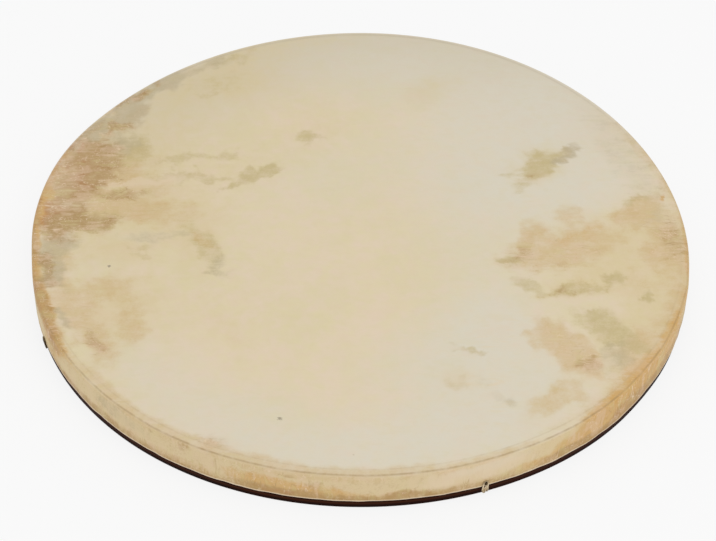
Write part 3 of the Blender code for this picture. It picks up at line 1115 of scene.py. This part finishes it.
# %% The rim and the cut edge
LOW_DIRT = (0.420, 0.262, 0.095)
CREASE_SHADE_BROWN = (0.330, 0.215, 0.100)
STEP_SHADE_BROWN = (0.460, 0.350, 0.200)
FAR_SHADE_LINE = (0.470, 0.400, 0.290)
FAR_HIGHLIGHT = (0.840, 0.790, 0.700)
CUT_SHADE = (0.330, 0.205, 0.090)
CUT_EDGE_HIGHLIGHT = (0.700, 0.560, 0.400)
# in metres past the middle of the shoulder's bend
CREASE_AT = -0.0010
HOOP_LINE_AT = -0.0067
FAR_SHADE_LINE_AT = -0.0042
FAR_HIGHLIGHT_AT = -0.0004
CUT_SHADE_AT = 0.0256

low_edge = (past + (mottle - 0.5) * 0.008).step(0.0165, 0.0275)
hide.over(LOW_DIRT, low_edge * ((fibres + grit).step(0.80, 1.20) * 0.56 + 0.16))
wobble = past + (clouds - 0.5) * 0.0016 + (mottle - 0.5) * 0.0006
seen = hide.attribute("crease_shade")
# painted shade along the crease and along the step over the hoop's inner edge
crease_shade = wobble.line(CREASE_AT, 0.0014) * mottle.step(0.34, 0.62, 0.35, 1.0) * (seen * 0.75 + 0.25)
hide.over(CREASE_SHADE_BROWN, crease_shade * 0.60)
hoop_step_shade = wobble.line(HOOP_LINE_AT, 0.0013) * mottle.step(0.36, 0.62, 0.30, 1.0) * (seen * 0.7 + 0.1)
hide.over(STEP_SHADE_BROWN, hoop_step_shade * 0.42)
# a painted shade line and a painted highlight where the light grazes the far rim
far = far_shade * mottle.step(0.36, 0.62, 0.60, 1.0)
hide.over(FAR_SHADE_LINE, past.line(FAR_SHADE_LINE_AT, 0.0020) * far * 0.50)
hide.over(FAR_HIGHLIGHT, past.line(FAR_HIGHLIGHT_AT, 0.0022) * far * 0.60)
# a thin painted shade line just above the cut edge, then a painted highlight along the edge
above_cut = past.line(CUT_SHADE_AT, 0.0012) * mottle.step(0.35, 0.60, 0.3, 1.0)
hide.over(CUT_SHADE, above_cut * 0.45)
hide.over(CUT_EDGE_HIGHLIGHT, past.step(0.0264, 0.0270) * 0.80)
hide.over(BROWN_FIBRE, hide.attribute("inside") * 0.45)

# %% [markdown]
# The dry, scraped surface has a soft gloss, a little rougher in the crease. Its relief is slight, in
# two layers: broad unevenness first, and then fibres and grit on top of it.

# %% Gloss and relief
hide.give(Base_Color=hide.colour, Specular_IOR_Level=0.30)
hide.give(Roughness=mottle.step(0.3, 0.7, 0.52, 0.64) + crease_shade * 0.1)
uneven = hide.bump(clouds * 2.0 + mottle * 0.6 + fibres * 0.10, 0.0010, 0.35)
hide.give(Normal=hide.bump(fibres * 0.5 + grit * 0.4 - crease_shade * 1.2, 0.00012, 0.6, uneven))
hide.wear(head, "rawhide")
print("the finished hide has", len(hide.tree.nodes), "nodes")

# %% [markdown]
# ## Stained wood
#
# The plank was stained nearly black after it was bent. The grain runs right round it, so the noise is
# stretched: it changes fast with height and with distance from the axis, and slowly along the plank.
# The noise has four dimensions, and the fourth is the distance from the axis, so there is no seam.
# Handling has rubbed the corners to a warmer brown, and the gloss is faint and warm.

# %% The wood's finish
STAIN_BLACK = (0.0050, 0.0004, 0.0001)
STAIN_BROWN = (0.018, 0.0030, 0.0008)
BAND_BROWN = (0.042, 0.010, 0.003)
MIDDLE_HIGHLIGHT_BROWN = (0.066, 0.018, 0.006)
RUBBED_BROWN = (0.090, 0.036, 0.016)
WARM_GLOSS = (1.0, 0.50, 0.34)


def stained_wood():
    """Fine grain, broad bands, a painted highlight line half way up the bare wood, and rubbed corners."""
    finish = Finish("black_stained_plank")
    place = finish.place
    height = finish.node("SeparateXYZ", {}, {0: place}, out=2)
    level = finish.vector("MULTIPLY", place, (1.0, 1.0, 0.0))
    reach = finish.length(level)
    fine = finish.vector("MULTIPLY", place, (6.0, 6.0, 900.0))
    grain = finish.noise(fine, 1.0, 4.0, 0.6, W=reach * 900.0)
    coarse = finish.vector("MULTIPLY", place, (3.0, 3.0, 160.0))
    bands = finish.noise(coarse, 1.0, 2.0, 0.5, W=reach * 160.0)
    patches = finish.noise(place, 30.0, 3.0, 0.6)
    finish.colour = finish.mix(STAIN_BLACK, STAIN_BROWN, grain.step(0.38, 0.72))
    finish.over(BAND_BROWN, bands.step(0.50, 0.72) * 0.5)
    # a painted highlight half way up the bare wood
    middle = height.line(0.0052, 0.0022)
    finish.over(MIDDLE_HIGHLIGHT_BROWN, middle * 0.50)
    rubbed = height.step(0.0016, 0.0004) * patches.step(0.35, 0.7)
    finish.over(RUBBED_BROWN, rubbed * 0.6)
    finish.give(Base_Color=finish.colour, Specular_IOR_Level=0.05, Specular_Tint=WARM_GLOSS)
    finish.give(Roughness=grain.step(0.3, 0.7, 0.46, 0.60) + patches * 0.1)
    finish.give(Normal=finish.bump(grain + bands * 0.6, 0.00025, 0.4))
    return finish


wood_finish = stained_wood()
wood_finish.wear(hoop, "stained_wood")

# %% [markdown]
# ## Thong hide
#
# The thongs are the same hide, cut narrow. Shade is painted in the fold between the two lobes of the
# twisted strip, so the attribute that says how far a point lies on a lobe drives it. A second
# attribute blackens the left knot, and paints shade on the strands inside the holes.

# %% The thongs' finish
TAN_STRIP = (0.620, 0.475, 0.285)
PALE_STRIP = (0.760, 0.630, 0.440)
FOLD_SHADE = (0.250, 0.165, 0.075)
DARK_FIBRE = (0.380, 0.270, 0.130)
KNOT_AND_HOLE_BLACK = (0.036, 0.018, 0.003)


def thong_hide():
    """Tan and pale patches, painted shade in the folds, fibres, and black that is strongest low down."""
    finish = Finish("twisted_thong_hide")
    place = finish.place
    fold = finish.attribute("fold")
    fibres = finish.noise(place, 1400.0, 3.0, 0.6)
    patches = finish.noise(place, 160.0, 3.0, 0.6)
    finish.colour = finish.mix(TAN_STRIP, PALE_STRIP, patches.step(0.35, 0.65))
    # painted shade in the folds of the twist
    finish.over(FOLD_SHADE, fold.step(0.2, -0.8) * 0.60)
    finish.over(DARK_FIBRE, fibres.step(0.5, 0.75) * 0.4)
    darkening = finish.attribute("darkening")
    height = finish.node("SeparateXYZ", {}, {0: place}, out=2)
    # black on the left knot, darker low down, and painted shade on the strands inside the holes
    coat_weight = darkening * height.step(0.0150, 0.0105, 0.70, 0.98)
    uneven = (patches + fibres * 0.4).step(0.45, 0.75, 0.80, 1.0)
    finish.over(KNOT_AND_HOLE_BLACK, coat_weight * uneven)
    finish.give(Base_Color=finish.colour, Specular_IOR_Level=0.12)
    finish.give(Roughness=patches.step(0.3, 0.7, 0.50, 0.70))
    finish.give(Normal=finish.bump(fibres + fold * 0.4, 0.00015, 0.6))
    return finish


thong_finish = thong_hide()
for thong in (lower_thong, upper_thong):
    thong_finish.wear(thong, "thong_hide")

# %% [markdown]
# ## What stands for what
#
# Each dressed piece hides the solid that it stands for and rides on the drum's one body. The head was
# a round hide, cut flat and stretched over the hoop, and its flat size is the top's width and twice
# the skirt.

# %% Pieces on the body
STANDS_FOR = (
    (head, "drumhead"),
    (hoop, "hoop"),
    (lower_thong, "grip_thong_lower"),
    (upper_thong, "grip_thong_upper"),
)
for piece, node in STANDS_FOR:
    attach(piece, "root")
    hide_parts(node)

skirt_length = TOP - HIDE_EDGE - SHOULDER + SHOULDER * (math.pi / 2 - 1)
hide_width = DIAMETER + 2 * skirt_length
math.pi / 4 * hide_width**2
print("the hide was cut", round(hide_width, 3), "m across")

# %% [markdown]
# ## Floor and light
#
# The drum should stand on even white, and a real floor would be greyer and hold a shadow. So this
# one glows evenly by itself, under an even white sky and one broad soft lamp in front of the drum.
# It doesn't glow in the disc beneath the drum, or its light would fill the thong holes.

# %% Studio
BLACK = (0.0, 0.0, 0.0)
WHITE = (1.0, 1.0, 1.0)
FLOOR_GREY = (0.10, 0.10, 0.10)
FLOOR_HALF = 6.0
FLOOR_HEIGHT = -0.0002
FLOOR_GLOW = 0.845
SKY_STRENGTH = 0.880
LAMP_WATTS = 9.0
LAMP_WIDTH = 1.6
LAMP_PLACE = (0.3, -1.3, 2.0)
# how far from the axis the floor's glow begins, and where it is full
GLOW_BEGINS = 0.262
GLOW_FULL = 0.268


def make_floor():
    """A wide square just under the drum. Its glow begins where the drum's covered disc ends."""
    finish = Finish("studio_floor")
    open_floor = finish.length(finish.place).step(GLOW_BEGINS, GLOW_FULL)
    finish.give(Base_Color=FLOOR_GREY, Roughness=0.9, Specular_IOR_Level=0.1)
    finish.give(Emission_Color=finish.mix(BLACK, WHITE, open_floor), Emission_Strength=FLOOR_GLOW)
    signs = ((-1, -1), (1, -1), (1, 1), (-1, 1))
    corners = [(x * FLOOR_HALF, y * FLOOR_HALF, FLOOR_HEIGHT) for x, y in signs]
    mesh = bpy.data.meshes.new("studio_floor")
    mesh.from_pydata(corners, [], [(0, 1, 2, 3)])
    mesh.materials.append(finish.material)
    floor = bpy.data.objects.new("studio_floor", mesh)
    bpy.context.scene.collection.objects.link(floor)


def make_light():
    """An even white sky and a round lamp that is turned to the drum."""
    world = bpy.data.worlds.new("sky")
    world.use_nodes = True
    background = world.node_tree.nodes["Background"]
    background.inputs["Color"].default_value = (*WHITE, 1.0)
    background.inputs["Strength"].default_value = SKY_STRENGTH
    bpy.context.scene.world = world
    data = bpy.data.lights.new("soft_lamp", "AREA")
    data.shape = "DISK"
    data.size = LAMP_WIDTH
    data.energy = LAMP_WATTS
    lamp = bpy.data.objects.new("soft_lamp", data)
    lamp.location = LAMP_PLACE
    lamp.rotation_euler = Vector(lamp.location).to_track_quat("Z", "Y").to_euler()
    bpy.context.scene.collection.objects.link(lamp)


make_floor()
make_light()
bpy.context.scene.view_settings.view_transform = "Standard"
